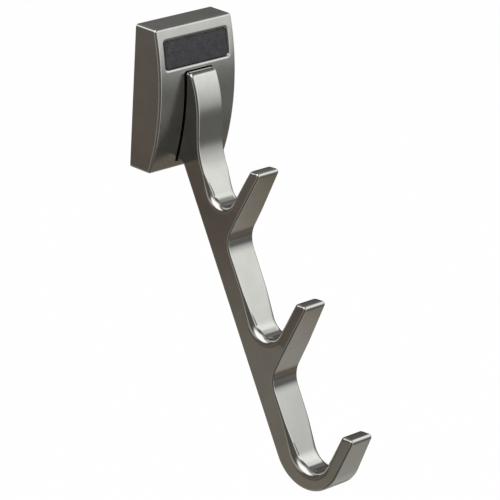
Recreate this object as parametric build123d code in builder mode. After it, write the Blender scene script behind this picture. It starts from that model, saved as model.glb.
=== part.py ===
from build123d import *
import os
from math import cos, hypot, radians, sin

# A waterfall clothes hook: a cast housing with a soft inlay, a cast arm with prongs, and the hidden wall fixing.
# Sizes are in millimetres and degrees. The wall is the plane y = 0, the front looks towards -Y and +Z is up.
# The origin is the middle of the wall bracket's back. Side outlines are drawn as (out, up), out off the wall.

os.makedirs("parts", exist_ok=True)

# Housing
housing_width = 40.0
housing_height = 57.0
edge_depth = 10.4  # how far the top and bottom edges of the front stand off the wall
crown = 4.4  # how much further the middle of the bowed front stands out
wall = 2.4
front_wall = 3.0
corner_round = 1.2

# Slot, and the pocket behind it
slot_drop = 17.4  # from the housing's top edge down to the slot
slot_strip = 2.7  # solid strip left under the slot
slot_corner = 1.0
slot_play = 0.7  # gap between the slot's rim and the arm's sides and underside
top_play = 0.4  # gap over the arm's flat top
pocket_wall = 2.0
floor_thick = 2.2

# Inlay
inlay_margin = 3.7  # from its ends out to the housing's sides
inlay_height = 10.3
inlay_drop = 10.4  # from the housing's top edge down to the inlay's middle
inlay_corner = 1.0
inlay_thick = 1.2
inlay_play = 0.12
recess_depth = 1.5
recess_round = 1.2

# Arm
arm_width = 13.4
arm_thick = 9.6
arm_lean = 30.0  # arm's back off the wall
arm_round = 1.2
arm_top_out = 17.2  # front end of the arm's flat top
root_round = 3.0  # where the underside of the root runs into the arm's back
neck_out = 22.3  # where the neck's curved brow runs into its straight stretch
neck_height = -7.0
neck_lean = 3.0
neck_straight = 6.5

# Prongs, counted from the top
prong_count = 3
first_along = 44.0  # first tip, measured down the arm's back from the origin
first_reach = 38.0  # first tip, measured square off the arm's back
pitch = 52.6
reach_step = 1.85  # each lower tip reaches this much further
prong_lean = 25.5
lean_step = 1.5  # each lower prong stands this much steeper
prong_thick = 5.0
thick_step = 0.35
tip_narrowing = 1.1  # each side of a prong draws in this much at its tip
narrowing_length = 20.0
notch_round = 5.2
notch_step = 1.5
crotch_round = 10.0
hook_round = 17.0  # outside of the lowest bend

# Wall bracket
plate_width = 24.0
plate_thick = 2.0
wall_hole_dia = 4.5
wall_hole_spacing = 30.0
tongue_rise = 3.8
tongue_gap = 0.2  # from the plate's face out to the tongue's back
tongue_play = 0.8  # from the tongue's end up to the housing's ceiling
foot_reach = 2.4  # foot beyond the plate's face
foot_play = 1.0  # from the foot down to the boss of the clamping screw
bend_round = 1.0

# Rib and boss that hold the housing on the bracket
rib_width = 20.0
rib_back = 0.5
rib_play = 0.25  # from the rib's face out to the tongue
boss_width = 7.0
boss_rise = 2.6

# Arm screws and clamping screw
screw_dia = 4.0
screw_length = 8.0
screw_spacing = 11.5
screw_drop = 12.0  # from the arm's flat top down to the middle of its two screws
head_dia = 7.0
head_height = 2.5
drive_span = 4.2  # cross recess of the heads
drive_slot = 1.0
head_room = 3.4  # from the plate's face out to the pocket's floor
hole_play = 0.25  # clearance hole, each side
thread_play = 0.05  # tapped hole, each side
hole_spare = 1.5  # tapped hole beyond the screw's end
grub_dia = 3.0
grub_key = 1.5  # across the flats of its socket
grub_sink = 0.4  # its lower end inside the housing's underside

# Places that follow from the sizes
half_height = housing_height / 2
front_out = edge_depth + crown
bow_radius = (half_height**2 + crown**2) / (2 * crown)
bow_centre = front_out - bow_radius
floor_back = plate_thick + head_room
floor_front = floor_back + floor_thick
inlay_centre = half_height - inlay_drop
inlay_width = housing_width - 2 * inlay_margin
slot_top = half_height - slot_drop
slot_bottom = slot_strip - half_height
slot_height = slot_top - slot_bottom
slot_middle = (slot_top + slot_bottom) / 2
slot_width = arm_width + 2 * slot_play
arm_top = slot_top - top_play
root_low = slot_bottom + slot_play
screw_middle = arm_top - screw_drop
boss_top = wall + boss_rise - half_height
foot_bottom = boss_top + foot_play
foot_out = plate_thick + foot_reach
tongue_top = half_height - wall - tongue_play
web_top = tongue_top - tongue_rise
tongue_back = plate_thick + tongue_gap
tongue_front = tongue_back + plate_thick
grub_low = grub_sink - half_height
grub_out = foot_out - grub_dia / 2
overrun = 1.0  # how far a cutting shape runs past what it cuts
near = 0.01  # two places closer than this are one

side = Plane(origin=(0, 0, 0), x_dir=(0, -1, 0), z_dir=(-1, 0, 0))
off_wall = Plane(origin=(0, 0, 0), x_dir=(1, 0, 0), z_dir=(0, -1, 0))
screw_seat = Plane(origin=(0, -floor_back, screw_middle), x_dir=(1, 0, 0), z_dir=(0, -1, 0))
arm_root = Plane(origin=(0, -floor_front, screw_middle), x_dir=(1, 0, 0), z_dir=(0, 1, 0))
underside = Plane.XY.offset(grub_low)


def bowed_block(width, height, inset):
    """Block on the wall, its bowed front lying inset behind the housing's own."""
    with BuildPart() as block:
        with BuildSketch(off_wall):
            Rectangle(width, height)
        extrude(amount=front_out)
        with BuildSketch(side):
            with Locations((bow_centre, 0)):
                Circle(bow_radius - inset)
        extrude(amount=width, both=True, mode=Mode.INTERSECT)
    return block.part


def bowed_panel(play, outer_inset, inner_inset):
    """Rounded panel at the inlay's place, between two surfaces that follow the bowed front."""
    with BuildPart() as panel:
        with BuildSketch(off_wall):
            with Locations((0, inlay_centre)):
                RectangleRounded(inlay_width - 2 * play, inlay_height - 2 * play, inlay_corner - play)
        extrude(amount=front_out + overrun)
        with BuildSketch(side):
            with Locations((bow_centre, 0)):
                Circle(bow_radius - outer_inset)
                Circle(bow_radius - inner_inset, mode=Mode.SUBTRACT)
        extrude(amount=inlay_width, both=True, mode=Mode.INTERSECT)
    return panel.part


def moved(point, lean, run):
    """Point reached from another by a straight run at a lean from plumb."""
    return point[0] + run * sin(radians(lean)), point[1] + run * cos(radians(lean))


def crossing(a, a_lean, b, b_lean):
    """Point where two straight faces meet, each given by a point on it and its lean from plumb."""
    a_out, a_up = sin(radians(a_lean)), cos(radians(a_lean))
    b_out, b_up = sin(radians(b_lean)), cos(radians(b_lean))
    run = ((b[0] - a[0]) * b_up - (b[1] - a[1]) * b_out) / (a_out * b_up - a_up * b_out)
    return moved(a, a_lean, run)


def off_arm(along, reach):
    """Point at a distance down the arm's back and a distance square off it."""
    lean = radians(arm_lean)
    return along * sin(lean) + reach * cos(lean), reach * sin(lean) - along * cos(lean)


def prong_sizes(index):
    """Lean, thickness and front corner of the tip of one prong, counted from the top."""
    tip = off_arm(first_along + pitch * index, first_reach + reach_step * index)
    return prong_lean - lean_step * index, prong_thick + thick_step * index, tip


def neck_corners():
    """Ends of the neck's straight stretch, and the end of the hollow that runs from it into the arm's front."""
    top = (neck_out, neck_height)
    foot = moved(top, 180 - neck_lean, neck_straight)
    corner = crossing(top, 180 - neck_lean, off_arm(0, arm_thick), 180 - arm_lean)
    run = hypot(corner[0] - foot[0], corner[1] - foot[1])
    return top, foot, moved(corner, 180 - arm_lean, run)


def prong_corners():
    """Corners of the outline below the neck, the bends to round, and the corners of the tips."""
    arm_line = 180 - arm_lean
    back, front = off_arm(0, 0), off_arm(0, arm_thick)
    corners, bends, tips = [], [], []
    for index in range(prong_count):
        lean, thick, tip = prong_sizes(index)
        inner_tip = (tip[0] - thick / cos(radians(lean)), tip[1])
        notch = crossing(inner_tip, lean, front, arm_line)
        last = index == prong_count - 1
        crotch = crossing(tip, lean, back if last else front, arm_line)
        corners += [notch, inner_tip, tip, crotch]
        bends.append((notch, notch_round + notch_step * index))
        bends.append((crotch, hook_round if last else crotch_round))
        tips += [inner_tip, tip]
    return corners, bends, tips


def side_wedges(index):
    """Slivers that draw in both sides of a prong towards its tip."""
    lean, thick, tip = prong_sizes(index)
    middle = tip[0] - thick / cos(radians(lean)) / 2
    up_prong = Vector(0, -sin(radians(lean)), cos(radians(lean)))
    flank = Plane(origin=(0, -middle, tip[1]), x_dir=(1, 0, 0), z_dir=Vector(1, 0, 0).cross(up_prong))
    half = arm_width / 2
    rise = thick
    narrow = half - tip_narrowing * (1 + rise / narrowing_length)
    with BuildPart() as wedges:
        with BuildSketch(flank):
            with BuildLine():
                Polyline(
                    (half, -narrowing_length),
                    (half + overrun, -narrowing_length),
                    (half + overrun, rise),
                    (narrow, rise),
                    close=True,
                )
            make_face()
            mirror(about=Plane.YZ)
        extrude(amount=thick / 2 + 2 * overrun, both=True)
    return wedges.part


# Pocket behind the slot, kept inside the housing's skin
pocket_low = wall / 2 - half_height
pocket_top = slot_top + pocket_wall
with BuildPart() as pocket:
    with BuildSketch(off_wall.offset(floor_back)):
        with Locations((0, (pocket_top + pocket_low) / 2)):
            Rectangle(slot_width + 2 * pocket_wall, pocket_top - pocket_low)
    extrude(amount=front_out)
    add(bowed_block(housing_width, housing_height, front_wall / 2), mode=Mode.INTERSECT)

# Cast housing: bowed front, inlay recess, slot, hanging rib and the boss of the clamping screw
ceiling = half_height - wall / 2
with BuildPart() as housing:
    add(bowed_block(housing_width, housing_height, 0))
    fillet(housing.edges().filter_by(lambda edge: (edge @ 0.5).Y < -edge_depth / 4), corner_round)
    add(bowed_block(housing_width - 2 * wall, housing_height - 2 * wall, front_wall), mode=Mode.SUBTRACT)
    add(pocket.part)
    with BuildSketch(off_wall.offset(rib_back)):
        with Locations((0, (ceiling + web_top) / 2)):
            Rectangle(rib_width, ceiling - web_top)
    extrude(amount=tongue_back - rib_play - rib_back)
    with BuildSketch(off_wall.offset(rib_back)):
        with Locations((0, (boss_top + pocket_low) / 2)):
            Rectangle(boss_width, boss_top - pocket_low)
    extrude(amount=floor_back + floor_thick / 2 - rib_back)
    with BuildSketch(off_wall.offset(floor_front)):
        with Locations((0, slot_middle)):
            RectangleRounded(slot_width, slot_height, slot_corner)
    extrude(amount=front_out, mode=Mode.SUBTRACT)
    add(bowed_panel(0, -overrun, recess_depth), mode=Mode.SUBTRACT)
    recess_rim = housing.edges().filter_by(
        lambda edge: abs((edge @ 0.5).X) < inlay_width / 2 + near
        and abs((edge @ 0.5).Z - inlay_centre) < inlay_height / 2 + near
        and abs(hypot((edge @ 0.5).Y + bow_centre, (edge @ 0.5).Z) - bow_radius) < near
    )
    fillet(recess_rim, recess_round)
    with Locations(screw_seat.offset(floor_thick)):
        with GridLocations(1, screw_spacing, 1, 2):
            Hole(screw_dia / 2 + hole_play, floor_thick + overrun)
    with Locations((0, -grub_out, boss_top)):
        Hole(grub_dia / 2 + thread_play, 2 * boss_rise + wall)
housing.part.label = "housing"
export_step(housing.part, "parts/housing.step")

# Soft inlay, sunk a little below the front
with BuildPart() as inlay:
    add(bowed_panel(inlay_play, recess_depth - inlay_thick, recess_depth))
inlay.part.label = "inlay"
export_step(inlay.part, "parts/inlay.step")

# Cast arm: its side outline, extruded across, the prongs narrowed and every outer edge rounded
corners, bends, tips = prong_corners()
root_top = (floor_front, arm_top)
root_foot = crossing((0, root_low), 90, off_arm(0, 0), 180 - arm_lean)
brow = (arm_top_out, arm_top)
neck_top, neck_foot, neck_end = neck_corners()
up_neck = moved((0, 0), -neck_lean, 1)
down_neck = moved((0, 0), 180 - neck_lean, 1)
with BuildPart() as arm:
    with BuildSketch(side) as outline:
        with BuildLine():
            Line(root_top, brow)
            TangentArc(neck_top, brow, tangent=up_neck)
            Line(neck_top, neck_foot)
            TangentArc(neck_foot, neck_end, tangent=down_neck)
            Polyline(neck_end, *corners, root_foot, (floor_front, root_low), root_top)
        make_face()
        for (out, up), radius in bends + [(root_foot, root_round)]:
            fillet(outline.vertices().sort_by_distance((out, up, 0))[0], radius)
    extrude(amount=arm_width / 2, both=True)
    for index in range(prong_count):
        add(side_wedges(index), mode=Mode.SUBTRACT)
    rim = outline.sketch.face().outer_wire()
    rim_edges = arm.edges().filter_by(
        lambda edge: -(edge @ 0.5).Y > floor_front + near
        and abs((edge @ 0.5).X) > arm_width / 4
        and rim.distance_to(Vertex(0, (edge @ 0.5).Y, (edge @ 0.5).Z)) < near
    )
    cross_edges = []
    for out, up in tips + [brow]:
        cross_edges.append(arm.edges().filter_by(Axis.X).sort_by_distance((0, -out, up))[0])
    fillet(rim_edges + cross_edges, arm_round)
    with Locations(arm_root):
        with GridLocations(1, screw_spacing, 1, 2):
            Hole(screw_dia / 2 + thread_play, screw_length - floor_thick + hole_spare)
arm.part.label = "arm"
export_step(arm.part, "parts/arm.step")

# Two screws that hold the arm against the pocket's floor, put in from behind
with BuildPart() as arm_screws:
    with BuildSketch(screw_seat):
        with GridLocations(1, screw_spacing, 1, 2):
            Circle(screw_dia / 2)
    extrude(amount=screw_length)
    with BuildSketch(screw_seat):
        with GridLocations(1, screw_spacing, 1, 2):
            Circle(head_dia / 2)
    extrude(amount=-head_height)
    chamfer(arm_screws.edges().filter_by(GeomType.CIRCLE).group_by(Axis.Y)[-1], head_height / 4)
    with BuildSketch(screw_seat.offset(-head_height)):
        with GridLocations(1, screw_spacing, 1, 2):
            Rectangle(drive_span, drive_slot)
            Rectangle(drive_slot, drive_span)
    extrude(amount=head_height / 2, mode=Mode.SUBTRACT)
arm_screws.part.label = "arm_screws"
export_step(arm_screws.part, "parts/arm_screws.step")

# Pressed wall bracket: ledge and tongue at the top, foot at the bottom, screw holes between them
with BuildPart() as wall_bracket:
    with BuildSketch(side) as section:
        with BuildLine():
            Polyline(
                (0, foot_bottom),
                (foot_out, foot_bottom),
                (foot_out, foot_bottom + plate_thick),
                (plate_thick, foot_bottom + plate_thick),
                (plate_thick, web_top - plate_thick),
                (tongue_front, web_top - plate_thick),
                (tongue_front, tongue_top),
                (tongue_back, tongue_top),
                (tongue_back, web_top),
                (0, web_top),
                close=True,
            )
        make_face()
        for out, up in ((0, foot_bottom), (0, web_top), (tongue_front, web_top - plate_thick)):
            fillet(section.vertices().sort_by_distance((out, up, 0))[0], bend_round)
        for out, up in ((plate_thick, foot_bottom + plate_thick), (plate_thick, web_top - plate_thick)):
            fillet(section.vertices().sort_by_distance((out, up, 0))[0], bend_round / 2)
    extrude(amount=plate_width / 2, both=True)
    with Locations(off_wall.offset(plate_thick)):
        with GridLocations(1, wall_hole_spacing, 1, 2):
            Hole(wall_hole_dia / 2, plate_thick)
wall_bracket.part.label = "wall_bracket"
export_step(wall_bracket.part, "parts/wall_bracket.step")

# Headless clamping screw, driven up from below against the bracket's foot
with BuildPart() as clamp_screw:
    with BuildSketch(underside):
        with Locations((0, -grub_out)):
            Circle(grub_dia / 2)
    extrude(amount=foot_bottom - grub_low)
    chamfer(clamp_screw.edges().group_by(Axis.Z)[0], grub_dia / 8)
    with BuildSketch(underside):
        with Locations((0, -grub_out)):
            RegularPolygon(grub_key / 2, 6, major_radius=False)
    extrude(amount=grub_dia / 2, mode=Mode.SUBTRACT)
clamp_screw.part.label = "clamp_screw"
export_step(clamp_screw.part, "parts/clamp_screw.step")
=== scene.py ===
"""Looks of a wall-mounted waterfall clothes hook, dressed on its packed construction.

The frame is the construction's own, in metres: the wall is the plane y = 0, the front looks towards -Y and +Z is up.
The housing and the hidden fixings keep their solids and get their finishes here. The arm is remade with rounder rims
and with prongs that thicken towards their roots, and the inlay is remade as a soft pad with a pebbled face.
"""

import logging
from collections.abc import Mapping, Sequence
from dataclasses import dataclass
from enum import Enum
from math import atan2, ceil, cos, dist, pi, radians, sin, sqrt, tan

import bmesh
import bpy
from mathutils import Matrix, Vector, geometry, noise

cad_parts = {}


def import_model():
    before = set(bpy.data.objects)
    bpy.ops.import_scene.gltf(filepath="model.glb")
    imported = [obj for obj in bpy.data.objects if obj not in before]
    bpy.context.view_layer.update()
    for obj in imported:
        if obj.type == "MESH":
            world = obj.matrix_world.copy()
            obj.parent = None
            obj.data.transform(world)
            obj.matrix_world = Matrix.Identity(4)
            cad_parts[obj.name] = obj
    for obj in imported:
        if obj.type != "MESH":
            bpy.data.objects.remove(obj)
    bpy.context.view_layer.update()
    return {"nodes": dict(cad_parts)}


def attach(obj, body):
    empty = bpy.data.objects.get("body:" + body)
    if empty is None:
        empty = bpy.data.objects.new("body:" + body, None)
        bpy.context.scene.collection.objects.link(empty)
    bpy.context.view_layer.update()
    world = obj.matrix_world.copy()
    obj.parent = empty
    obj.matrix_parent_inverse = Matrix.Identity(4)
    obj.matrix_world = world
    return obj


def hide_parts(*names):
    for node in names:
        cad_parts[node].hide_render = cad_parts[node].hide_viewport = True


log = logging.getLogger("clothes_hook")

MM = 0.001
ARC_STEP = 6.0  # degrees between two spots on a rounded corner
SAME_SPOT = 1e-7  # two spots closer than this are one
TENT_STRENGTH = 2.0  # the tent's light, by which the cloths' colours are divided

Colour = tuple[float, float, float]
Point = tuple[float, float, float]
Spot = tuple[float, float]


class Axis(Enum):
    """The outputs of a Separate XYZ node."""

    X = "X"
    Y = "Y"
    Z = "Z"


class Lay(Enum):
    """How the marks of a metal finish run, as the stretch of their noise along X, Y and Z."""

    BLASTED = (1.0, 1.0, 1.0)
    ROLLED = (1.0, 1.0, 0.05)


class Facing(Enum):
    """Where the normals of one of the arm's faces come from."""

    SKIN = "the rounded skin"
    FLAT = "the face itself"


@dataclass(frozen=True)
class Field:
    """A number or colour that varies over a surface, held by the socket that gives it.

    An expression on number fields and numbers adds the Math nodes that work it out.
    """

    bench: "NodeBench"
    socket: bpy.types.NodeSocket | None

    def __add__(self, other: "Field | float") -> "Field":
        """Sum."""
        return self.bench.maths("ADD", self, other)

    def __radd__(self, other: float) -> "Field":
        """Sum with the number first."""
        return self.bench.maths("ADD", other, self)

    def __sub__(self, other: "Field | float") -> "Field":
        """Difference."""
        return self.bench.maths("SUBTRACT", self, other)

    def __rsub__(self, other: float) -> "Field":
        """Difference with the number first."""
        return self.bench.maths("SUBTRACT", other, self)

    def __mul__(self, other: "Field | float") -> "Field":
        """Product."""
        return self.bench.maths("MULTIPLY", self, other)

    def __rmul__(self, other: float) -> "Field":
        """Product with the number first."""
        return self.bench.maths("MULTIPLY", other, self)

    def __truediv__(self, other: "Field | float") -> "Field":
        """Quotient."""
        return self.bench.maths("DIVIDE", self, other)

    def step(self, low: float, high: float) -> "Field":
        """Smooth step from 0 at the low value to 1 at the high one, which may be the lower of the two."""
        settings = {"interpolation_type": "SMOOTHSTEP"}
        return self.bench.node("ShaderNodeMapRange", settings, {"Value": self, "From Min": low, "From Max": high})


class NodeBench:
    """Adds nodes to one node tree and links them."""

    def __init__(self, tree: bpy.types.NodeTree) -> None:
        """Takes the tree of a material or of the world and clears it."""
        self.tree = tree
        self.tree.nodes.clear()

    def node(
        self,
        kind: str,
        settings: Mapping[str, object] | None = None,
        inputs: Mapping[str | int, object] | None = None,
        output: str | int = 0,
    ) -> Field:
        """Adds one node.

        Args:
            kind: the node's type.
            settings: its properties, which are set before its sockets.
            inputs: values or fields for its sockets, by name or place.
            output: the socket to hand back, by name or place.

        Returns:
            The field that the chosen output gives.
        """
        made = self.tree.nodes.new(kind)
        for name, value in (settings or {}).items():
            setattr(made, name, value)
        for key, value in (inputs or {}).items():
            if isinstance(value, Field):
                self.tree.links.new(value.socket, made.inputs[key])
            elif made.inputs[key].type == "RGBA":
                made.inputs[key].default_value = (*value, 1.0)
            else:
                made.inputs[key].default_value = value
        return Field(self, made.outputs[output] if made.outputs else None)

    def maths(self, operation: str, first: "Field | float", second: "Field | float" = 0.0) -> Field:
        """Result of one Math node on two values."""
        return self.node("ShaderNodeMath", {"operation": operation}, {0: first, 1: second})

    def place(self, stretch: Point = (1.0, 1.0, 1.0)) -> Field:
        """Object coordinates in metres, scaled along X, Y and Z, by less than 1 to draw a pattern out."""
        where = self.node("ShaderNodeTexCoord", output="Object")
        return self.node("ShaderNodeVectorMath", {"operation": "MULTIPLY"}, {0: where, 1: stretch})

    def speckle(self, size: float, detail: float = 2.0, stretch: Point = (1.0, 1.0, 1.0)) -> Field:
        """Noise about 0.5, with spots of about a size in metres and finer octaves laid over them."""
        inputs = {"Vector": self.place(stretch), "Scale": 1.0 / size, "Detail": detail}
        return self.node("ShaderNodeTexNoise", {}, inputs, 0)

    def pebbles(self, size: float) -> Field:
        """Distance to the middle of the nearest pebble of a leather-like grain, of a size in metres."""
        inputs = {"Vector": self.place(), "Scale": 1.0 / size, "Randomness": 0.9}
        return self.node("ShaderNodeTexVoronoi", {"feature": "F1"}, inputs, "Distance")

    def mix(self, factor: Field, first: "Colour | Field", second: "Colour | Field") -> Field:
        """Blend of two colours, the first at a factor of 0 and the second at 1."""
        return self.node("ShaderNodeMix", {"data_type": "RGBA"}, {0: factor, 6: first, 7: second}, 2)

    def ramp(self, factor: Field, stops: Sequence[tuple[float, Colour]]) -> Field:
        """Colour ramp.

        Args:
            factor: where on the ramp.
            stops: its places and colours.

        Returns:
            The colour.
        """
        made = self.node("ShaderNodeValToRGB", {}, {0: factor})
        elements = made.socket.node.color_ramp.elements
        for place, _ in stops[2:]:
            elements.new(place)
        for element, (place, shade) in zip(elements, stops):
            element.position = place
            element.color = (*shade, 1.0)
        return made

    def axis(self, vector: Field, which: Axis) -> Field:
        """One coordinate of a vector."""
        return self.node("ShaderNodeSeparateXYZ", {}, {0: vector}, which.value)

    def bump(self, height: Field, depth: float, under: Field | None = None) -> Field:
        """Surface relief.

        Args:
            height: 0 to 1.
            depth: the relief at height 1, in metres.
            under: coarser relief that this one lies on.

        Returns:
            The bent normal.
        """
        inputs: dict[str, object] = {"Distance": depth, "Height": height}
        if under is not None:
            inputs["Normal"] = under
        return self.node("ShaderNodeBump", {}, inputs)

    def seen(self) -> Field:
        """Rays that show what they meet: from the camera, off a gloss or through a glass.

        Returns:
            A field, 1 for such rays and 0 for the rest.
        """
        path = self.node("ShaderNodeLightPath").socket.node
        camera, glossy, through = (
            Field(self, path.outputs[name]) for name in ("Is Camera Ray", "Is Glossy Ray", "Is Transmission Ray")
        )
        return self.maths("MAXIMUM", camera, self.maths("MAXIMUM", glossy, through))

    def surface(self, **sockets: object) -> None:
        """Ends a material's tree with its shader.

        Args:
            sockets: values or fields for the shader's sockets, with _ for a space.
        """
        inputs = {name.replace("_", " "): value for name, value in sockets.items()}
        shader = self.node("ShaderNodeBsdfPrincipled", {}, inputs)
        self.node("ShaderNodeOutputMaterial", {}, {"Surface": shader})


def new_material(name: str) -> tuple[bpy.types.Material, NodeBench]:
    """Empty node material.

    Args:
        name: the material's name.

    Returns:
        The material and the bench that fills its tree.
    """
    material = bpy.data.materials.new(name)
    material.use_nodes = True
    return material, NodeBench(material.node_tree)


@dataclass(frozen=True)
class PlatedMetal:
    """Plated metal: fine grain under slow, cloudy changes of tone, with a faintly uneven surface."""

    name: str
    light: Colour
    dark: Colour
    roughness: float
    cloud_size: float = 9.0 * MM
    grain_size: float = 0.28 * MM
    grain_depth: float = 0.004 * MM
    wave_size: float = 5.0 * MM
    wave_depth: float = 0.010 * MM
    lay: Lay = Lay.BLASTED
    cloud_share: float = 0.55
    grain_share: float = 0.45
    tone_low: float = 0.35
    tone_high: float = 0.65
    roughness_swing: float = 0.06

    def material(self) -> bpy.types.Material:
        """Builds the finish.

        Returns:
            The material.
        """
        material, bench = new_material(self.name)
        cloud = bench.speckle(self.cloud_size, 3.0)
        grain = bench.speckle(self.grain_size, 2.0, self.lay.value)
        wave = bench.speckle(self.wave_size, 0.0)
        tone = (cloud * self.cloud_share + grain * self.grain_share).step(self.tone_low, self.tone_high)
        swing = self.roughness_swing
        bench.surface(
            Base_Color=bench.mix(tone, self.dark, self.light),
            Metallic=1.0,
            Roughness=self.roughness + (cloud - 0.5) * swing + (grain - 0.5) * swing,
            Normal=bench.bump(grain, self.grain_depth, under=bench.bump(wave, self.wave_depth)),
        )
        return material


@dataclass(frozen=True)
class PebbledPad:
    """Soft dark pad material: small pebbles whose creases are darkened with painted shade, mottled in patches."""

    name: str = "pebbled_pad"
    crown: Colour = (0.064, 0.061, 0.070)
    # dark end of the colour mix: painted shade in the creases between pebbles, and the dark of the random mottling
    crease_shade_and_mottle: Colour = (0.014, 0.013, 0.017)
    pebble_size: float = 0.55 * MM
    patch_size: float = 3.2 * MM
    fibre_size: float = 0.44 * MM
    relief: float = 0.05 * MM
    pebble_foot: float = 0.62  # where a pebble's crown begins, off its middle
    pebble_top: float = 0.12
    patch_low: float = 0.36
    patch_high: float = 0.66
    crown_share: float = 0.45
    patch_share: float = 0.22
    fibre_share: float = 0.38
    crown_relief: float = 0.7
    fibre_relief: float = 0.3
    roughness: float = 0.82
    crown_polish: float = 0.14
    sheen: float = 0.12
    sheen_roughness: float = 0.5
    gloss: float = 0.35

    def material(self) -> bpy.types.Material:
        """Builds the finish.

        Returns:
            The material.
        """
        material, bench = new_material(self.name)
        crown = bench.pebbles(self.pebble_size).step(self.pebble_foot, self.pebble_top)
        patch = bench.speckle(self.patch_size, 3.0).step(self.patch_low, self.patch_high)
        fibre = bench.speckle(self.fibre_size, 2.0)
        # the pebble term paints shade into the creases between pebbles; the patch and fibre terms are random mottling
        tone = crown * self.crown_share + patch * self.patch_share + fibre * self.fibre_share
        bench.surface(
            Base_Color=bench.mix(tone, self.crease_shade_and_mottle, self.crown),
            Roughness=self.roughness - crown * self.crown_polish,
            Sheen_Weight=self.sheen,
            Sheen_Roughness=self.sheen_roughness,
            Specular_IOR_Level=self.gloss,
            Normal=bench.bump(crown * self.crown_relief + fibre * self.fibre_relief, self.relief),
        )
        return material


def dress(node: str, nodes: Mapping[str, bpy.types.Object], material: bpy.types.Material) -> None:
    """Gives a piece of the construction its finish.

    Args:
        node: its name.
        nodes: the construction's pieces.
        material: the finish.
    """
    piece = nodes[node]
    for slot in piece.material_slots:
        slot.material = material
    log.info("%s: dressed in %s, %d faces", node, material.name, len(piece.data.polygons))


@dataclass
class CastHousing:
    """The cast housing that covers the fixing."""

    plating: PlatedMetal = PlatedMetal(
        name="satin_plating", light=(0.53, 0.525, 0.51), dark=(0.48, 0.475, 0.46), roughness=0.22
    )

    def build(self, nodes: Mapping[str, bpy.types.Object]) -> None:
        """Dresses the housing, one of the construction's pieces."""
        dress("housing", nodes, self.plating.material())


def in_space(across: float, spot: Vector) -> Vector:
    """Point in space from its place across the hook and its place (out, up) in the side plane."""
    return Vector((across, -spot.x, spot.y))


def heading(lean: float) -> Spot:
    """Step of length 1 in a direction, in degrees from straight up towards the front."""
    return sin(radians(lean)), cos(radians(lean))


def moved(spot: Spot, lean: float, run: float) -> Spot:
    """Spot reached by a straight run in a direction, in degrees from straight up towards the front."""
    out, up = heading(lean)
    return spot[0] + run * out, spot[1] + run * up


def crossing(first: Spot, first_lean: float, second: Spot, second_lean: float) -> Spot:
    """Spot where two straight faces meet.

    Args:
        first: a spot on the first face.
        first_lean: the face's direction, in degrees from straight up towards the front.
        second: a spot on the second face.
        second_lean: that face's direction.

    Returns:
        The spot.
    """
    out, up = heading(second_lean)
    over, along = heading(first_lean)
    run = ((second[0] - first[0]) * up - (second[1] - first[1]) * out) / (over * up - along * out)
    return moved(first, first_lean, run)


def turned(spot: Spot, centre: Spot, angle: float) -> Spot:
    """Spot turned about a centre, by an angle in radians that is positive from the front up towards the wall."""
    out, up = spot[0] - centre[0], spot[1] - centre[1]
    return centre[0] + out * cos(angle) - up * sin(angle), centre[1] + out * sin(angle) + up * cos(angle)


def tangent_arc(start: Spot, lean: float, end: Spot, count: int) -> list[Spot]:
    """Arc that leaves a spot in a given direction and runs to another.

    Args:
        start: where it starts.
        lean: its direction there, in degrees from straight up towards the front.
        end: where it ends.
        count: how many spots to put on it.

    Returns:
        The spots after the start, the end among them.
    """
    ahead_out, ahead_up = heading(lean)
    chord_out, chord_up = end[0] - start[0], end[1] - start[1]
    aside = chord_up * ahead_out - chord_out * ahead_up
    ahead = chord_out * ahead_out + chord_up * ahead_up
    radius = (chord_out**2 + chord_up**2) / (2 * aside)
    centre = (start[0] - ahead_up * radius, start[1] + ahead_out * radius)
    sweep = 2 * atan2(aside, ahead)
    return [turned(start, centre, sweep * part / count) for part in range(1, count + 1)]


def rounded(before: Spot, corner: Spot, after: Spot, radius: float) -> list[Spot]:
    """Arc that rounds a corner.

    Args:
        before: a spot on the side that leads to the corner.
        corner: the corner.
        after: a spot on the side that leaves it.
        radius: the arc's radius.

    Returns:
        Spots along the arc.
    """
    here = Vector(corner)
    come = (Vector(before) - here).normalized()
    leave = (Vector(after) - here).normalized()
    half = come.angle(leave) / 2
    centre = here + (come + leave).normalized() * radius / sin(half)
    start = here + come * radius / tan(half)
    end = here + leave * radius / tan(half)
    first, last = start - centre, end - centre
    sweep = atan2(first.x * last.y - first.y * last.x, first.dot(last))
    count = ceil(abs(sweep) / radians(ARC_STEP))
    return [turned(tuple(start), tuple(centre), sweep * part / count) for part in range(count + 1)]


@dataclass(frozen=True)
class Bend:
    """One corner of the arm's side outline.

    Its round is the radius in the outline, or 0 where the outline runs on, and its rim is the radius of the edge
    between the outline and the arm's sides.
    """

    spot: Spot
    rim: float
    round: float = 0.0


@dataclass(frozen=True)
class Station:
    """A spot on the arm's outline with what the rim needs there.

    Ahead and inward are steps of length 1 along the outline and square into the arm. Growth is how much the rim's
    radius gains over a length of the outline.
    """

    spot: Vector
    ahead: Vector
    inward: Vector
    rim: float
    growth: float


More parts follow.
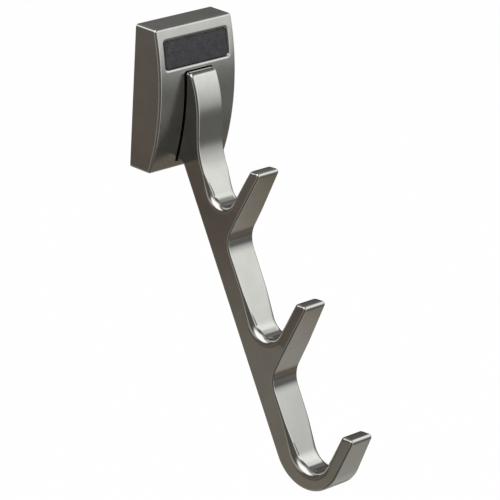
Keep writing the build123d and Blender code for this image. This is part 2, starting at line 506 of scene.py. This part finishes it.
@dataclass
class CastArm:
    """The cast arm: its side outline drawn across, with polished rims that open wide towards the notches.

    Outline spots are (out, up), out off the wall. Leans are in degrees and steps are from one prong to the next lower.
    """

    half_width: float = 6.7 * MM
    thick: float = 9.6 * MM
    lean: float = 30.0
    root_out: float = 7.6 * MM
    root_low: float = -25.1 * MM
    root_round: float = 3.0 * MM
    top: float = 10.7 * MM
    brow_out: float = 17.2 * MM
    neck_top: Spot = (22.3 * MM, -7.0 * MM)
    neck_lean: float = 3.0
    neck_straight: float = 6.5 * MM
    prong_count: int = 3
    first_along: float = 44.0 * MM
    first_reach: float = 38.0 * MM
    pitch: float = 52.6 * MM
    reach_step: float = 1.85 * MM
    prong_lean: float = 25.5
    lean_step: float = 1.5
    prong_thick: float = 5.0 * MM
    thick_step: float = 0.35 * MM
    tip_narrowing: float = 1.1 * MM
    narrowing_length: float = 20.0 * MM
    notch_round: float = 6.0 * MM
    notch_step: float = 1.3 * MM
    notch_start: float = 3.0 * MM  # before a notch's round, where the rim nears its full width
    notch_lead: float = 12.0 * MM  # before a notch's round, where the rim starts to widen
    start_share: float = 0.85  # of the notch's rim, at its start
    flare: float = 3.0  # how much more a prong's inner face leans than its outer one
    crotch_round: float = 10.0 * MM
    hook_round: float = 17.0 * MM
    brow_round: float = 2.4 * MM
    edge_round: float = 1.25 * MM
    tip_round: float = 1.9 * MM
    root_rim: float = 0.5 * MM
    neck_rim: float = 0.95 * MM
    face_rim: float = 1.15 * MM
    crotch_rim: float = 0.85 * MM
    edge_rim: float = 0.95 * MM
    notch_rim: float = 2.8 * MM
    notch_rim_step: float = 0.2 * MM
    tip_rim: float = 1.55 * MM
    screw_middle: float = -1.3 * MM
    screw_spacing: float = 11.5 * MM
    hole_radius: float = 2.05 * MM
    hole_depth: float = 7.3 * MM
    flank_play: float = 0.5 * MM  # how far past a prong's faces its narrowing still holds
    spacing: float = 1.0 * MM
    rim_steps: int = 7
    brow_steps: int = 12
    hollow_steps: int = 10
    hole_sides: int = 24
    plating: PlatedMetal = PlatedMetal(
        name="polished_plating", light=(0.53, 0.525, 0.51), dark=(0.48, 0.475, 0.46), roughness=0.12
    )

    def off_arm(self, along: float, reach: float) -> Spot:
        """Spot at a distance down the arm's back and a distance square off it."""
        return moved(moved((0.0, 0.0), 180.0 - self.lean, along), 90.0 - self.lean, reach)

    def prong(self, index: int) -> tuple[float, float, Spot]:
        """Lean, thickness and front corner of the tip of one prong, counted from the top."""
        tip = self.off_arm(self.first_along + self.pitch * index, self.first_reach + self.reach_step * index)
        return self.prong_lean - self.lean_step * index, self.prong_thick + self.thick_step * index, tip

    def tip_middle(self, index: int) -> Spot:
        """Middle of the tip of one prong, counted from the top."""
        lean, thick, tip = self.prong(index)
        return tip[0] - thick / cos(radians(lean)) / 2, tip[1]

    def neck(self) -> list[Bend]:
        """Outline from the brow down to the arm's straight front.

        Returns:
            Its bends in order.
        """
        brow = (self.brow_out, self.top)
        down = 180.0 - self.neck_lean
        foot = moved(self.neck_top, down, self.neck_straight)
        corner = crossing(self.neck_top, down, self.off_arm(0.0, self.thick), 180.0 - self.lean)
        end = moved(corner, 180.0 - self.lean, dist(corner, foot))
        over = tangent_arc(self.neck_top, -self.neck_lean, brow, self.brow_steps)[-2::-1]
        under = tangent_arc(foot, down, end, self.hollow_steps)
        bends = [Bend(brow, self.face_rim, self.brow_round)]
        bends += [Bend(spot, self.face_rim) for spot in (*over, self.neck_top)]
        return bends + [Bend(spot, self.neck_rim) for spot in (foot, *under)]

    def outline(self) -> list[Bend]:
        """Corners of the side outline, out from the root's top and round to its underside.

        Returns:
            Its bends in order.
        """
        down = 180.0 - self.lean
        back, front = self.off_arm(0.0, 0.0), self.off_arm(0.0, self.thick)
        bends = [Bend((self.root_out, self.top), self.root_rim), *self.neck()]
        for index in range(self.prong_count):
            lean, thick, tip = self.prong(index)
            last = index == self.prong_count - 1
            inner_tip = (tip[0] - thick / cos(radians(lean)), tip[1])
            notch = crossing(inner_tip, lean + self.flare, front, down)
            crotch = crossing(tip, lean, back if last else front, down)
            radius = self.notch_round + self.notch_step * index
            rim = self.notch_rim + self.notch_rim_step * index
            hollow = radius / tan(radians(lean + self.flare + self.lean) / 2)
            if index:
                bends.append(Bend(moved(notch, -self.lean, hollow + self.notch_lead), self.face_rim))
            bends.append(Bend(moved(notch, -self.lean, hollow + self.notch_start), rim * self.start_share))
            bends.append(Bend(notch, rim, radius))
            bends.append(Bend(inner_tip, self.tip_rim, self.tip_round))
            bends.append(Bend(tip, self.edge_rim, self.edge_round))
            if last:
                bends.append(Bend(crotch, self.face_rim, self.hook_round))
            else:
                bends.append(Bend(crotch, self.crotch_rim, self.crotch_round))
        foot = crossing((0.0, self.root_low), 90.0, back, down)
        bends.append(Bend(foot, self.face_rim, self.root_round))
        bends.append(Bend((self.root_out, self.root_low), self.root_rim))
        return bends

    def stations(self) -> list[Station]:
        """Closely spaced stations along the rounded outline.

        Returns:
            The stations in the outline's order.
        """
        bends = self.outline()
        marks: list[tuple[Vector, float]] = []
        for index, bend in enumerate(bends):
            arc = [bend.spot]
            if bend.round:
                arc = rounded(bends[index - 1].spot, bend.spot, bends[(index + 1) % len(bends)].spot, bend.round)
            marks += [(Vector(spot), bend.rim) for spot in arc]
        filled: list[tuple[Vector, float]] = []
        for (spot, rim), (after, after_rim) in zip(marks, marks[1:]):
            count = ceil((after - spot).length / self.spacing)
            for part in range(count):
                share = part / count
                filled.append((spot.lerp(after, share), rim + (after_rim - rim) * share))
        filled.append(marks[-1])
        found = []
        for index, (spot, rim) in enumerate(filled):
            before, before_rim = filled[index - 1]
            after, after_rim = filled[(index + 1) % len(filled)]
            ahead = ((spot - before).normalized() + (after - spot).normalized()).normalized()
            growth = (after_rim - before_rim) / ((after - spot).length + (spot - before).length)
            found.append(Station(spot, ahead, Vector((ahead.y, -ahead.x)), rim, growth))
        return found

    def flank(self, spot: Vector) -> tuple[float, Vector]:
        """The arm's side at a spot of the side plane.

        Args:
            spot: the spot.

        Returns:
            Half the arm's width there, and how the side leans in, as a step of the outline plane.
        """
        for index in range(self.prong_count):
            lean, thick, _ = self.prong(index)
            rise = Vector(heading(lean))
            middle = Vector(self.tip_middle(index))
            below = (middle - spot).dot(rise)
            aside = abs((spot - middle).dot(Vector((rise.y, -rise.x))))
            reach = thick / 2 + self.flank_play + max(below, 0.0) * tan(radians(self.flare))
            if below < self.narrowing_length and aside < reach:
                slope = self.tip_narrowing / self.narrowing_length
                return self.half_width - slope * (self.narrowing_length - below), rise * slope
        return self.half_width, Vector((0.0, 0.0))

    def section(self, station: Station) -> list[tuple[Vector, Vector]]:
        """Cross-section of the skin at a station, from the left side's flat to the right side's.

        Args:
            station: the station.

        Returns:
            Points and their normals.
        """
        made = []
        for part in range(self.rim_steps + 1):
            angle = pi / 2 * (1 - part / self.rim_steps)
            spot = station.spot + station.inward * station.rim * (1 - cos(angle))
            half, lean_in = self.flank(spot)
            along = station.ahead * station.growth * (cos(angle) + sin(angle) - 1)
            facing = along - station.inward * cos(angle) + lean_in * sin(angle)
            across = half - station.rim * (1 - sin(angle))
            made.append((in_space(-across, spot), in_space(-sin(angle), facing).normalized()))
        mirrored = [(Vector((-point.x, *point.yz)), Vector((-facing.x, *facing.yz))) for point, facing in made]
        return made + mirrored[::-1]

    def flat_of_side(self, column: Sequence[bmesh.types.BMVert]) -> list[tuple[int, ...]]:
        """Triangles that fill the flat of one side, creased where each prong starts to narrow.

        Args:
            column: the skin's vertices along the flat's edge.

        Returns:
            Their places in the column.
        """
        spots = [Vector((-vertex.co.y, vertex.co.z)) for vertex in column]
        creases = []
        for index in range(self.prong_count):
            lean, thick, _ = self.prong(index)
            middle = Vector(moved(self.tip_middle(index), lean, -self.narrowing_length))
            aside = Vector(moved((0.0, 0.0), lean + 90.0, thick / 2))
            edge = tuple(
                min(range(len(spots)), key=lambda place: (spots[place] - target).length)
                for target in (middle - aside, middle + aside)
            )
            creases.append(edge)
        loop = list(range(len(spots)))
        _, _, faces, origins, _, _ = geometry.delaunay_2d_cdt(spots, creases, [loop], 1, SAME_SPOT)
        return [tuple(origins[place][0] for place in face) for face in faces]

    def root_face(self, built: bmesh.types.BMesh, corners: Sequence[bmesh.types.BMVert]) -> None:
        """Closes the skin with the root's flat and its two blind screw holes.

        Args:
            built: the mesh.
            corners: the flat's four corners in order.
        """
        vertices, loops = list(corners), []
        for side in (-1, 1):
            height = self.screw_middle + side * self.screw_spacing / 2
            loop = []
            for part in range(self.hole_sides):
                angle = 2 * pi * part / self.hole_sides
                place = (self.hole_radius * cos(angle), -self.root_out, height + self.hole_radius * sin(angle))
                loop.append(len(vertices))
                vertices.append(built.verts.new(place))
            loops.append(loop)
        flat = [Vector((vertex.co.x, vertex.co.z)) for vertex in vertices]
        edges = [(loop[part - 1], loop[part]) for loop in loops for part in range(self.hole_sides)]
        _, _, faces, origins, _, _ = geometry.delaunay_2d_cdt(flat, edges, [list(range(4))], 1, SAME_SPOT)
        for face in faces:
            places = [origins[place][0] for place in face]
            if not any(set(places) <= set(loop) for loop in loops):
                built.faces.new([vertices[place] for place in places])
        for loop in loops:
            rim = [vertices[place] for place in loop]
            floor = [built.verts.new(vertex.co - Vector((0.0, self.hole_depth, 0.0))) for vertex in rim]
            for part in range(self.hole_sides):
                built.faces.new((rim[part - 1], rim[part], floor[part], floor[part - 1]))
            built.faces.new(floor)

    def mesh(self) -> bpy.types.Mesh:
        """Builds the arm as one closed skin with the polished rims' own normals.

        Returns:
            The mesh.
        """
        built = bmesh.new()
        normals: list[Vector] = []
        rows: list[list[bmesh.types.BMVert]] = []
        for station in self.stations():
            section = self.section(station)
            rows.append([built.verts.new(point) for point, _ in section])
            normals += [facing for _, facing in section]
        middle = self.rim_steps
        for index, row in enumerate(rows):
            before = rows[index - 1]
            for place in range(len(row) - 1):
                if index == 0 and place == middle:
                    continue
                built.faces.new((before[place], before[place + 1], row[place + 1], row[place]))
        for place in (0, -1):
            column = [row[place] for row in rows]
            for face in self.flat_of_side(column):
                built.faces.new([column[part] for part in face])
        sources = [Facing.SKIN] * len(built.faces)
        first, last = rows[0], rows[-1]
        self.root_face(built, (first[middle], first[middle + 1], last[middle + 1], last[middle]))
        sources += [Facing.FLAT] * (len(built.faces) - len(sources))
        bmesh.ops.recalc_face_normals(built, faces=built.faces)
        mesh = bpy.data.meshes.new("cast_arm")
        built.to_mesh(mesh)
        built.free()
        given: list[Point] = []
        for face, source in zip(mesh.polygons, sources):
            face.use_smooth = True
            for corner in face.vertices:
                given.append(tuple(normals[corner] if source is Facing.SKIN else face.normal))
        mesh.normals_split_custom_set(given)
        return mesh

    def build(self) -> None:
        """Makes the arm, puts it in its node's place and dresses it."""
        arm = bpy.data.objects.new("cast_arm", self.mesh())
        bpy.context.scene.collection.objects.link(arm)
        arm.data.materials.append(self.plating.material())
        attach(arm, "root")
        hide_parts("arm")
        log.info("%s: %d faces", arm.name, len(arm.data.polygons))


@dataclass
class HiddenFixing:
    """The pressed bracket and the screws behind and under the housing."""

    sheet: PlatedMetal = PlatedMetal(
        name="rolled_zinc",
        light=(0.66, 0.67, 0.68),
        dark=(0.52, 0.53, 0.55),
        roughness=0.36,
        grain_size=0.20 * MM,
        lay=Lay.ROLLED,
    )
    screw: PlatedMetal = PlatedMetal(
        name="screw_zinc", light=(0.60, 0.60, 0.60), dark=(0.42, 0.42, 0.43), roughness=0.33, cloud_size=2.0 * MM
    )

    def build(self, nodes: Mapping[str, bpy.types.Object]) -> None:
        """Dresses the bracket and the screws.

        Args:
            nodes: the construction's pieces.
        """
        dress("wall_bracket", nodes, self.sheet.material())
        screws = self.screw.material()
        for node in ("arm_screws", "clamp_screw"):
            dress(node, nodes, screws)


@dataclass
class InlayPad:
    """The soft pad in the housing's recess, sunk a little and rolled down at its rim, on the housing's bow."""

    half_width: float = 16.18 * MM
    half_height: float = 5.03 * MM
    corner: float = 0.88 * MM
    middle_height: float = 18.1 * MM
    bow_radius: float = 94.501 * MM
    bow_centre: float = 79.701 * MM  # behind the wall
    face_inset: float = 0.30 * MM
    floor_inset: float = 1.49 * MM
    roll: float = 0.42 * MM
    roll_width: float = 0.95 * MM
    pebble_size: float = 0.85 * MM
    pebble_relief: float = 0.035 * MM
    coarse_share: float = 0.6
    fine_share: float = 0.4
    fineness: float = 2.3  # how many times smaller the fine pebbles are
    step: float = 0.24 * MM
    corner_steps: int = 8
    rim_crowding: float = 1.15  # over 1 to set the rings closer at the rim
    finish: PebbledPad = PebbledPad()

    def ring(self, inset: float) -> list[tuple[float, float]]:
        """Outline of the pad, drawn in by some distance.

        Args:
            inset: the distance, from 0 at the rim to the half height at the middle line.

        Returns:
            Points (across, up) about the pad's middle, the same number for each ring.
        """
        keep = 1.0 - inset / self.half_height
        wide, high, bend = self.half_width - inset, self.half_height - inset, self.corner * keep
        quarters = ((1, 1), (-1, 1), (-1, -1), (1, -1))
        centres = [(side * (wide - bend), level * (high - bend)) for side, level in quarters]
        points: list[tuple[float, float]] = []
        for index, (across, up) in enumerate(centres):
            for part in range(self.corner_steps + 1):
                angle = pi / 2 * (index + part / self.corner_steps)
                points.append((across + bend * cos(angle), up + bend * sin(angle)))
            start = points[-1]
            following = centres[(index + 1) % 4]
            end = (following[0] + bend * cos(angle), following[1] + bend * sin(angle))
            count = round(2 * (self.half_height if index % 2 else self.half_width) / self.step)
            for part in range(1, count):
                share = part / count
                points.append((start[0] + (end[0] - start[0]) * share, start[1] + (end[1] - start[1]) * share))
        return points

    def on_bow(self, across: float, up: float, inset: float) -> Vector:
        """Point on a surface that follows the housing's bow.

        Args:
            across: the point's place along X.
            up: its place along Z about the pad's middle.
            inset: how far it lies behind the housing's front.

        Returns:
            The point.
        """
        height = self.middle_height + up
        radius = self.bow_radius - inset
        return Vector((across, self.bow_centre - sqrt(radius**2 - height**2), height))

    def sink(self, across: float, up: float, inset: float) -> float:
        """How far the pad's face lies behind the housing's front.

        Args:
            across: the place along X.
            up: the place along Z about the pad's middle.
            inset: the distance from the pad's rim.

        Returns:
            The depth in metres.
        """
        edge = max(0.0, 1.0 - inset / self.roll_width)
        where = Vector((across, up, 0.0)) / self.pebble_size
        pebble = noise.noise(where) * self.coarse_share + noise.noise(where * self.fineness) * self.fine_share
        return self.face_inset + self.pebble_relief + self.roll * edge**2 - self.pebble_relief * pebble * (1 - edge)

    def mesh(self) -> bpy.types.Mesh:
        """Builds the pad as one closed skin of rings.

        Returns:
            The mesh.
        """
        built = bmesh.new()
        ring_count = round(self.half_height / self.step)
        floor = [built.verts.new(self.on_bow(*point, self.floor_inset)) for point in self.ring(0.0)]
        loops = [floor]
        for part in range(ring_count):
            inset = self.half_height * (part / ring_count) ** self.rim_crowding
            ring = self.ring(inset)
            loops.append([built.verts.new(self.on_bow(*point, self.sink(*point, inset))) for point in ring])
        count = len(floor)
        for lower, upper in zip(loops, loops[1:]):
            for index in range(count):
                after = (index + 1) % count
                built.faces.new((lower[index], lower[after], upper[after], upper[index]))
        built.faces.new(loops[-1])
        built.faces.new(list(reversed(floor)))
        bmesh.ops.recalc_face_normals(built, faces=built.faces)
        for face in built.faces:
            face.smooth = True
        mesh = bpy.data.meshes.new("inlay_pad")
        built.to_mesh(mesh)
        built.free()
        return mesh

    def build(self) -> None:
        """Makes the pad, puts it in the inlay's place and dresses it."""
        pad = bpy.data.objects.new("inlay_pad", self.mesh())
        bpy.context.scene.collection.objects.link(pad)
        pad.data.materials.append(self.finish.material())
        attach(pad, "root")
        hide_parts("inlay")
        log.info("%s: %d faces", pad.name, len(pad.data.polygons))


@dataclass(frozen=True)
class Backcloth:
    """One backcloth of the tent: its brightness from the ground up, over a span of azimuth.

    Azimuth is in degrees from straight before the front, towards the left. A height is the sine of the elevation.
    """

    stops: tuple[tuple[float, Colour], ...]
    azimuth: float = 0.0
    half_width: float = 180.0
    softness: float = 8.0
    lowest: float = -1.5
    fade: float = 0.05

    def colour(self, bench: NodeBench, height: Field) -> Field:
        """The cloth's colour at a height, divided by the tent's strength."""
        stops = [((place + 1.0) / 2, tuple(part / TENT_STRENGTH for part in shade)) for place, shade in self.stops]
        return bench.ramp(height * 0.5 + 0.5, stops)

    def mask(self, bench: NodeBench, x: Field, y: Field, height: Field) -> Field:
        """Where the cloth hangs.

        Args:
            bench: the bench of the tent's material.
            x: level direction along X.
            y: level direction along Y.
            height: sine of the elevation.

        Returns:
            A field, 1 on the cloth.
        """
        turn = radians(self.azimuth)
        near = cos(radians(max(self.half_width - self.softness, 0.0)))
        far = cos(radians(min(self.half_width + self.softness, 180.0)))
        across = (x * -sin(turn) + y * -cos(turn)).step(far, near)
        return across * height.step(self.lowest - self.fade, self.lowest + self.fade)


@dataclass(frozen=True)
class Lamp:
    """A soft square lamp: its side in metres and its power in watts."""

    name: str
    place: Point
    size: float
    power: float


@dataclass
class Studio:
    """Floor, light tent, lamps and camera about the hook."""

    floor_height: float = -1.0
    floor_half: float = 9.0
    floor_paint: Colour = (0.9, 0.9, 0.9)
    floor_glow: float = 0.985  # how much of the floor that the camera sees is plain white
    white: Colour = (1.0, 1.0, 1.0)
    world_light: float = 0.62
    world_extra: float = 0.38  # added for rays that show the surroundings
    tent_radius: float = 0.62
    tent_segments: int = 48
    pole_blur: float = 0.0001  # keeps the level direction finite straight up and down
    round_cloth: Backcloth = Backcloth(
        stops=(
            (-1.0, (0.40, 0.36, 0.31)),
            (-0.60, (0.26, 0.235, 0.20)),
            (-0.52, (0.25, 0.23, 0.195)),
            (-0.47, (0.19, 0.17, 0.14)),
            (-0.43, (0.145, 0.12, 0.10)),
            (-0.385, (0.135, 0.112, 0.09)),
            (-0.35, (0.165, 0.14, 0.118)),
            (-0.10, (0.18, 0.165, 0.145)),
            (0.26, (0.09, 0.085, 0.08)),
            (0.38, (0.26, 0.25, 0.245)),
            (0.72, (0.20, 0.20, 0.20)),
            (0.86, (0.30, 0.30, 0.29)),
            (1.0, (0.70, 0.70, 0.68)),
        )
    )
    cloths: tuple[Backcloth, ...] = (
        Backcloth(
            stops=(
                (-1.0, (0.50, 0.49, 0.46)),
                (-0.86, (0.56, 0.56, 0.54)),
                (-0.77, (0.42, 0.40, 0.37)),
                (-0.735, (0.29, 0.255, 0.21)),
                (-0.70, (0.18, 0.15, 0.12)),
                (-0.60, (0.20, 0.18, 0.145)),
                (-0.49, (0.14, 0.135, 0.12)),
                (-0.40, (0.22, 0.22, 0.21)),
                (-0.32, (0.19, 0.19, 0.18)),
                (-0.22, (0.18, 0.18, 0.17)),
                (-0.14, (0.25, 0.255, 0.24)),
                (-0.05, (0.58, 0.59, 0.57)),
                (0.07, (0.85, 0.86, 0.84)),
                (0.15, (0.98, 0.99, 0.97)),
                (0.24, (1.18, 1.20, 1.16)),
                (0.32, (1.30, 1.32, 1.28)),
                (0.45, (1.46, 1.48, 1.44)),
                (0.62, (1.50, 1.52, 1.48)),
                (0.74, (0.16, 0.16, 0.15)),
                (0.90, (0.15, 0.15, 0.14)),
                (1.0, (0.80, 0.80, 0.80)),
            ),
            azimuth=-52.0,
            half_width=48.0,
            softness=8.0,
        ),
        Backcloth(
            stops=(
                (-0.7, (0.10, 0.09, 0.08)),
                (-0.5, (0.50, 0.48, 0.45)),
                (-0.2, (0.75, 0.74, 0.71)),
                (0.1, (1.25, 1.25, 1.22)),
                (0.50, (1.40, 1.40, 1.37)),
                (0.66, (0.20, 0.20, 0.19)),
            ),
            azimuth=2.0,
            half_width=9.0,
            softness=5.0,
        ),
        Backcloth(
            stops=(
                (-0.7, (0.20, 0.18, 0.15)),
                (-0.5, (0.42, 0.39, 0.35)),
                (0.1, (0.60, 0.57, 0.52)),
                (0.9, (1.20, 1.20, 1.20)),
            ),
            azimuth=94.0,
            half_width=9.0,
            softness=6.0,
        ),
        Backcloth(
            stops=(
                (-0.6, (0.13, 0.125, 0.11)),
                (0.2, (0.13, 0.13, 0.12)),
                (0.5, (0.40, 0.40, 0.40)),
                (1.0, (1.40, 1.40, 1.40)),
            ),
            azimuth=48.0,
            half_width=30.0,
            softness=10.0,
        ),
        Backcloth(
            stops=((0.4, (2.1, 2.08, 2.0)), (1.0, (1.90, 1.90, 1.86))),
            azimuth=100.0,
            half_width=52.0,
            softness=22.0,
            lowest=0.42,
            fade=0.14,
        ),
    )
    azimuth: float = -46.005
    elevation: float = 20.735
    roll: float = 3.170
    film_width: float = 36.0
    lens: float = 243.18
    stand: Point = (-0.8610, -0.8779, 0.4003)
    sight: float = 50.0  # how far the camera sees, in metres
    aim: Point = (0.0, -0.05, -0.05)  # where the lamps look
    lamps: tuple[Lamp, ...] = (
        Lamp("key", (0.9, -1.2, 0.9), 0.9, 9.0),
        Lamp("fill", (-1.1, -0.9, 0.5), 0.9, 4.0),
    )

    def tent(self) -> None:
        """Light tent that glossy surfaces see, with its soft lights and dark flags."""
        mesh = bpy.data.meshes.new("light_tent")
        built = bmesh.new()
        rings = self.tent_segments // 2
        bmesh.ops.create_uvsphere(built, u_segments=self.tent_segments, v_segments=rings, radius=self.tent_radius)
        built.to_mesh(mesh)
        built.free()
        tent = bpy.data.objects.new("light_tent", mesh)
        bpy.context.scene.collection.objects.link(tent)
        tent.visible_camera = False
        tent.visible_diffuse = False
        tent.visible_shadow = False
        tent.visible_volume_scatter = False
        material, bench = new_material("light_tent")
        ray = bench.node("ShaderNodeVectorMath", {"operation": "NORMALIZE"}, {0: bench.place()})
        x, y, z = (bench.axis(ray, which) for which in Axis)
        level = bench.maths("SQRT", x * x + y * y + self.pole_blur)
        colour = self.round_cloth.colour(bench, z)
        for cloth in self.cloths:
            mask = cloth.mask(bench, x / level, y / level, z)
            colour = bench.mix(mask, colour, cloth.colour(bench, z))
        light = bench.node("ShaderNodeEmission", {}, {"Color": colour, "Strength": TENT_STRENGTH})
        bench.node("ShaderNodeOutputMaterial", {}, {"Surface": light})
        mesh.materials.append(material)

    def floor(self) -> None:
        """Plain pale floor, which the camera sees white and which keeps the shadow."""
        mesh = bpy.data.meshes.new("floor")
        half, height = self.floor_half, self.floor_height
        corners = [(-half, -half, height), (half, -half, height), (half, half, height), (-half, half, height)]
        mesh.from_pydata(corners, [], [(0, 1, 2, 3)])
        floor = bpy.data.objects.new("floor", mesh)
        bpy.context.scene.collection.objects.link(floor)
        material, bench = new_material("floor")
        paint = bench.node("ShaderNodeBsdfDiffuse", {}, {"Color": self.floor_paint})
        glow = bench.node("ShaderNodeEmission", {}, {"Color": self.white, "Strength": 1.0})
        shown = bench.node("ShaderNodeMixShader", {}, {0: bench.seen() * self.floor_glow, 1: paint, 2: glow})
        bench.node("ShaderNodeOutputMaterial", {}, {"Surface": shown})
        mesh.materials.append(material)

    def world(self) -> None:
        """White surroundings, a little lower for what only lights the object."""
        world = bpy.data.worlds.new("studio")
        world.use_nodes = True
        bpy.context.scene.world = world
        bench = NodeBench(world.node_tree)
        strength = self.world_light + bench.seen() * self.world_extra
        sky = bench.node("ShaderNodeBackground", {}, {"Color": self.white, "Strength": strength})
        bench.node("ShaderNodeOutputWorld", {}, {"Surface": sky})

    def hang(self, lamp: Lamp) -> None:
        """Hangs a lamp that looks at the hook.

        Args:
            lamp: the lamp.
        """
        light = bpy.data.lights.new(lamp.name, "AREA")
        light.size = lamp.size
        light.energy = lamp.power
        hung = bpy.data.objects.new(lamp.name, light)
        hung.location = lamp.place
        look = Vector(self.aim) - Vector(lamp.place)
        hung.rotation_euler = look.to_track_quat("-Z", "Y").to_euler()
        hung.visible_glossy = False
        bpy.context.scene.collection.objects.link(hung)

    def camera(self) -> None:
        """Camera at the photograph's place."""
        az, el, turn = radians(self.azimuth), radians(self.elevation), radians(self.roll)
        back = Vector((sin(az) * cos(el), -cos(az) * cos(el), sin(el)))
        right = (-back).cross(Vector((0, 0, 1))).normalized()
        up = right.cross(-back)
        across = right * cos(turn) + up * sin(turn)
        upward = up * cos(turn) - right * sin(turn)
        data = bpy.data.cameras.new("camera")
        data.sensor_fit = "HORIZONTAL"
        data.sensor_width = self.film_width
        data.lens = self.lens
        data.clip_end = self.sight
        camera = bpy.data.objects.new("camera", data)
        camera.matrix_world = Matrix.Translation(self.stand) @ Matrix((across, upward, back)).transposed().to_4x4()
        bpy.context.scene.collection.objects.link(camera)
        bpy.context.scene.camera = camera

    def build(self) -> None:
        """Sets the stage."""
        bpy.context.scene.view_settings.view_transform = "Standard"
        self.camera()
        self.world()
        self.floor()
        self.tent()
        for lamp in self.lamps:
            self.hang(lamp)
        log.info("studio: %d cloths on the tent, %d lamps", len(self.cloths) + 1, len(self.lamps))


def main() -> None:
    """Loads the construction, dresses it and sets the stage."""
    logging.basicConfig(level=logging.INFO, format="%(name)s: %(message)s")
    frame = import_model()
    nodes = frame["nodes"]
    CastHousing().build(nodes)
    CastArm().build()
    HiddenFixing().build(nodes)
    InlayPad().build()
    Studio().build()


if __name__ == "__main__":
    main()
